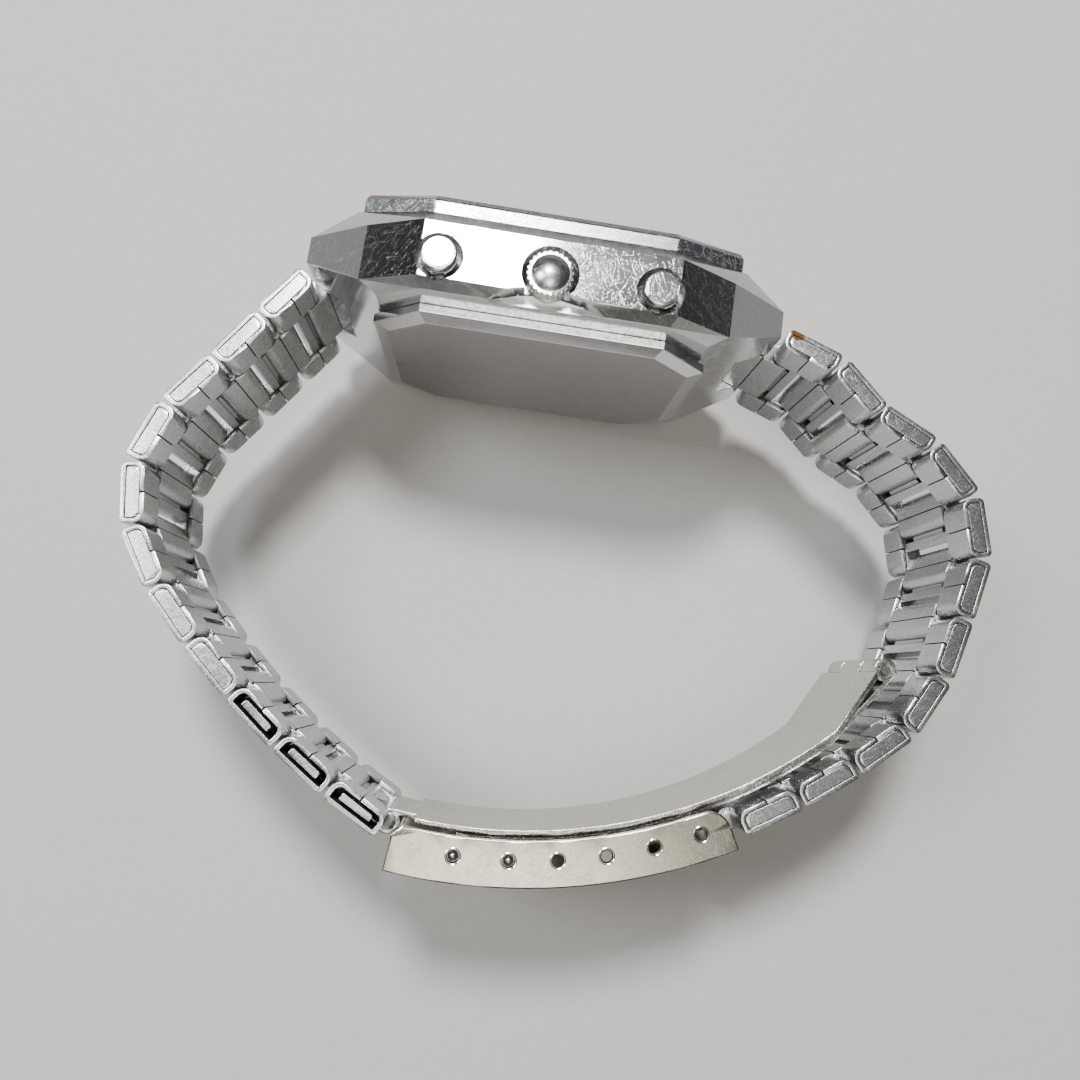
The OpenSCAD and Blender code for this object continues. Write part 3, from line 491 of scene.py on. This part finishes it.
def mark_sharp_edges(mesh, angle, shortest):
    """Gives full bevel weight to each sharp edge, apart from the shorter one of two that meet in a spike."""
    bm = bmesh.new()
    bm.from_mesh(mesh)
    weight = bm.edges.layers.float.new("bevel_weight_edge")
    sharp = {e for e in bm.edges if e.is_manifold and e.calc_face_angle() > angle
             and e.calc_length() > shortest and not at_a_hole(e)}
    for vertex in bm.verts:
        here = [e for e in vertex.link_edges if e in sharp]
        for i, one in enumerate(here):
            for two in here[i + 1:]:
                ways = [e.other_vert(vertex).co - vertex.co for e in (one, two)]
                if ways[0].angle(ways[1]) < SPIKE:
                    sharp.discard(min(one, two, key=lambda e: e.calc_length()))
    for edge in sharp:
        edge[weight] = 1.0
    bm.to_mesh(mesh)
    bm.free()


print("no bevel at", 1 + len(WALL_HOLES), "holes")

# %% [markdown]
# ## Painted shade in the corners
# Between links and inside the clasp, where little light reaches, the steel is given painted shade. The
# Ambient Occlusion node could find such corners, but it works only in a render. Here each corner of a face
# sends a few rays out to the sky over it and stores how many are stopped, and the steels read that number.

# %% Painted shade
RAY_COUNT = 12
SHADE_REACH = 1.5 * MM
# Rays start just above the face, and a little towards its middle
LIFT, INWARDS = 2e-6, 0.08


def hemisphere(count):
    """Directions spread evenly, closer together near straight up, as light from a wide sky counts."""
    out = []
    for i in range(count):
        up = sqrt(1 - (i + 0.5) / count)
        turn = i * pi * (3 - sqrt(5))
        across = sqrt(1 - up * up)
        out.append(Vector((across * cos(turn), across * sin(turn), up)))
    return out


RAYS = hemisphere(RAY_COUNT)


def add_painted_shade(mesh, strength):
    """Stores at each corner of a face how dark the hidden part of its sky makes it."""
    tree = BVHTree.FromPolygons([v.co for v in mesh.vertices], [p.vertices for p in mesh.polygons], epsilon=0)
    grime = mesh.attributes.new("grime", "FLOAT", "CORNER")
    values = [0.0] * len(mesh.loops)
    for face in mesh.polygons:
        lift = face.normal * LIFT
        facing = face.normal.to_track_quat("Z", "X")
        ways = [facing @ ray for ray in RAYS]
        for loop in face.loop_indices:
            start = mesh.vertices[mesh.loops[loop].vertex_index].co.lerp(face.center, INWARDS) + lift
            hidden = sum(tree.ray_cast(start, way, SHADE_REACH)[0] is not None for way in ways) / len(ways)
            # No painted shade up to a fifth of the sky hidden, and fully dark from three quarters
            values[loop] = min(1.0, max(0.0, hidden * 1.8 - 0.35)) * strength
    grime.data.foreach_set("value", values)


print("rays for each corner:", len(RAYS))

# %% [markdown]
# ## Rounding one piece
# Each copy is merged first, because a CAD node is loose triangles. Round pieces keep their large flat faces
# whole, and all others go back to triangles, which can't warp. A bevel wider than the faces beside it folds
# over, and the modifier's own clamp would narrow every edge for the sake of one. So the fold is measured,
# and only a piece that has one is bevelled again, a bit narrower.

# %% Rounding
BODY_OF = {node: body for body, nodes in frame["record"]["behaviour"]["bodies"].items() for node in nodes}
# The largest fold that may stay, in square millimetres, and how a bevel with a larger one is narrowed
WORST_FOLD, NARROWER, TRIES = 0.03, 0.8, 6


def merged_copy(name, ending):
    """A copy of a CAD node merged to one closed skin, with all of it selected in edit mode."""
    bpy.ops.object.select_all(action="DESELECT")
    piece = bpy.data.objects.new(name + ending, NODES[name].data.copy())
    bpy.context.collection.objects.link(piece)
    piece.select_set(True)
    bpy.context.view_layer.objects.active = piece
    bpy.ops.object.mode_set(mode="EDIT")
    bpy.ops.mesh.select_all(action="SELECT")
    bpy.ops.mesh.remove_doubles(threshold=2e-6)
    return piece


def folded(mesh):
    """Area of the largest bit of face that a bevel has turned over, in square millimetres."""
    mesh.calc_loop_triangles()
    return max((t.area for t in mesh.loop_triangles
                if t.normal.dot(mesh.polygons[t.polygon_index].normal) < 0), default=0.0) / MM ** 2


def bevel(piece, width):
    """Rounds the marked edges, and makes the bevel narrower where it folds."""
    sharp = piece.data.copy()
    for _ in range(TRIES):
        rounding = piece.modifiers.new("rounding", "BEVEL")
        rounding.width = width * MM
        rounding.segments = 2
        rounding.limit_method = "WEIGHT"
        rounding.use_clamp_overlap = False
        bpy.ops.object.modifier_apply(modifier=rounding.name)
        fold = folded(piece.data)
        if fold < WORST_FOLD:
            break
        print(piece.name, "folds by", round(fold, 4), "at", round(width, 3))
        piece.data = sharp.copy()
        width *= NARROWER


def softened(name, width, angle, shortest, round_piece, grime):
    """A copy of a CAD node with rounded edges, riding on the node's body."""
    piece = merged_copy(name, "_soft")
    bpy.ops.mesh.dissolve_limited(angle_limit=radians(0.6))
    if not round_piece:
        bpy.ops.mesh.quads_convert_to_tris(quad_method="BEAUTY", ngon_method="BEAUTY")
    bpy.ops.object.mode_set(mode="OBJECT")
    mark_sharp_edges(piece.data, radians(angle), shortest * MM)
    bevel(piece, width)
    bpy.ops.object.shade_smooth_by_angle(angle=radians(angle))
    even = piece.modifiers.new("even_normals", "WEIGHTED_NORMAL")
    even.weight = 55
    even.keep_sharp = True
    bpy.ops.object.modifier_apply(modifier=even.name)
    if grime:
        add_painted_shade(piece.data, grime)
    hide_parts(name)
    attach(piece, BODY_OF[name])
    return piece


print("bodies to ride on:", len(set(BODY_OF.values())))

# %% [markdown]
# ## How wide each edge is
# The clasp's cover is bent from sheet and has the softest edges, while the folded links keep crisp ones. The
# case, the bezel and the back meet in shallow facets, so they count an edge as sharp from a much smaller
# angle, and leave out the short ones in the corners. Painted shade darkens the corners of the links, the clasp
# and the case.

# %% Edge widths
EDGE_MM = {"case_body": 0.10, "bezel": 0.12, "case_back": 0.08, "crown": 0.05, "pusher_2": 0.12,
           "pusher_4": 0.12, "clasp_cover": 0.16, "clasp_blade_middle": 0.05, "clasp_blade_inner": 0.06,
           "clasp_end_link": 0.08}
EDGE_MM.update({name: 0.05 for name in NODES if name.startswith("link_")})
FACETED, FACET_ANGLE, FACET_SHORTEST = ("case_body", "bezel", "case_back"), 11.0, 1.2
ROUND = ("crown", "pusher_2", "pusher_4")
# Pieces whose hidden corners get painted shade, and how strong it is
SHADED_PIECES, SHADE_STRENGTH = ("link_", "clasp_", "case_body"), 0.9
SOFT = {}
for name, width in EDGE_MM.items():
    angle, shortest = (FACET_ANGLE, FACET_SHORTEST) if name in FACETED else (30.0, 0.0)
    SOFT[name] = softened(name, width, angle, shortest, name in ROUND, SHADE_STRENGTH if name.startswith(SHADED_PIECES) else 0.0)
    print(name, len(SOFT[name].data.polygons), "faces")

# %% [markdown]
# ## Two or three finishes on one piece
# The case is polished on its flanks, brushed on the shoulders that slope to the dial, and satin in the
# scoop for a fingernail. The shoulders and the back's flat face get darkened tints, which are painted shade,
# and the chamfer round the back gets the bright steel of the case. Painting a mask would do, but each finish
# ends at an edge, so it is enough to choose whole faces by how they lie.

# %% Case and back
# How far a shoulder's normal points to the dial, and aside
SLOPE_Y, SLOPE_ASIDE = (0.5, 0.95), 0.3
# Where the scoop's ledge is, in millimetres
SCOOP_X, SCOOP_Z, SCOOP_Y = 6.5, (30, 33.5), -1.2
# Open faces this large get no painted shade
LARGE_FACE = 4 * MM ** 2

case = SOFT["case_body"].data
case.materials.append(SHADED_SHOULDER_STEEL)
case.materials.append(SCOOP_STEEL)
case_painted_shade = case.attributes["grime"].data
for face in case.polygons:
    way, at = face.normal, face.center / MM
    if SLOPE_Y[0] < way.y < SLOPE_Y[1] and max(abs(way.z), abs(way.x)) > SLOPE_ASIDE:
        face.material_index = 1
    elif abs(at.x) < SCOOP_X and SCOOP_Z[0] < at.z < SCOOP_Z[1] and at.y < SCOOP_Y and way.z > 0.9:
        face.material_index = 2
    # Shoulders, the scoop and large open faces get no painted shade
    if face.material_index or face.area > LARGE_FACE:
        for loop in face.loop_indices:
            case_painted_shade[loop].value = 0.0

back = SOFT["case_back"].data
back.materials.append(CASE_STEEL)
# The flat face keeps the tint darkened as painted shade, and the chamfer gets the case's steel
for face in back.polygons:
    face.material_index = 0 if face.normal.y < -0.99 else 1
print("case faces by finish:", [sum(f.material_index == i for f in case.polygons) for i in range(3)])

# %% [markdown]
# ## Countersunk rims of the cover's holes
# A drill has broken the edge of every hole in the cover's walls. The rim is a real chamfer, shown as a bright
# ring whose pale tint is a painted highlight. A bevel would have to cross the flat wall's triangles, so each
# rim is a thin ring of its own: a circle is extruded over a low crest, down into the hole, outwards inside the
# wall and back up, which closes it.

# %% Hole rims
HOLE_R, RIM_W, RIM_H, SUNK = 0.60, 0.13, 0.02, 0.12
# Radius and height of the profile's points after the first, in millimetres, from the crest to the start
RIM_PROFILE = ((HOLE_R + RIM_W * 0.6, RIM_H), (HOLE_R, -0.5 * RIM_H), (HOLE_R - 0.03, -SUNK),
               (HOLE_R + RIM_W, -SUNK), (HOLE_R + RIM_W, 0))


def hole_rim(name, hole, z, side):
    """A low chamfered ring round a hole on the wall at z, whose outer side faces side (1 up, -1 down)."""
    bpy.ops.object.select_all(action="DESELECT")
    bpy.ops.mesh.primitive_circle_add(vertices=48, radius=(HOLE_R + RIM_W) * MM, location=(0, 0, 0))
    ring = bpy.context.object
    ring.name = name
    bpy.ops.object.mode_set(mode="EDIT")
    bpy.ops.mesh.select_all(action="SELECT")
    for radius, rise in RIM_PROFILE:
        bpy.ops.mesh.extrude_edges_move()
        mesh = bmesh.from_edit_mesh(ring.data)
        for vertex in (v for v in mesh.verts if v.select):
            outwards = vertex.co.xy.normalized() * radius * MM
            vertex.co = (outwards.x, outwards.y, rise * MM)
        bmesh.update_edit_mesh(ring.data)
    bpy.ops.object.mode_set(mode="OBJECT")
    for vertex in ring.data.vertices:
        vertex.co = (vertex.co.x + hole[0] * MM, vertex.co.y + hole[1] * MM, z * MM + side * vertex.co.z)
    bpy.ops.object.mode_set(mode="EDIT")
    bpy.ops.mesh.select_all(action="SELECT")
    bpy.ops.mesh.remove_doubles(threshold=1e-7)
    bpy.ops.mesh.normals_make_consistent(inside=False)
    bpy.ops.object.mode_set(mode="OBJECT")
    bpy.ops.object.shade_smooth_by_angle(angle=radians(20))
    ring.data.materials.append(HIGHLIT_RIM_STEEL)
    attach(ring, BODY_OF["clasp_cover"])


low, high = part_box("clasp_cover")
for i, hole in enumerate(WALL_HOLES, 1):
    hole_rim(f"hole_rim_top_{i}", hole, high[2] / MM, 1)
    hole_rim(f"hole_rim_low_{i}", hole, low[2] / MM, -1)
print("rims:", 2 * len(WALL_HOLES))

# %% [markdown]
# ## Springs under the pushers
# Each coil spring stands in the case and is pressed as its pusher goes in. Riding on the case it would be
# cut by the pusher, and riding on the pusher it would come through the wall. Its merged copy rides on the
# body of its CAD node, with its shape unchanged.

# %% Pusher springs
for joint, name in (("push_2", "pusher_spring_2"), ("push_4", "pusher_spring_4")):
    low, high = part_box(name)
    spring = merged_copy(name, "_coil")
    bpy.ops.object.mode_set(mode="OBJECT")
    bpy.ops.object.shade_smooth_by_angle(angle=radians(30))
    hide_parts(name)
    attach(spring, BODY_OF[name])
    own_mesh(spring)

# %% [markdown]
# ## The end
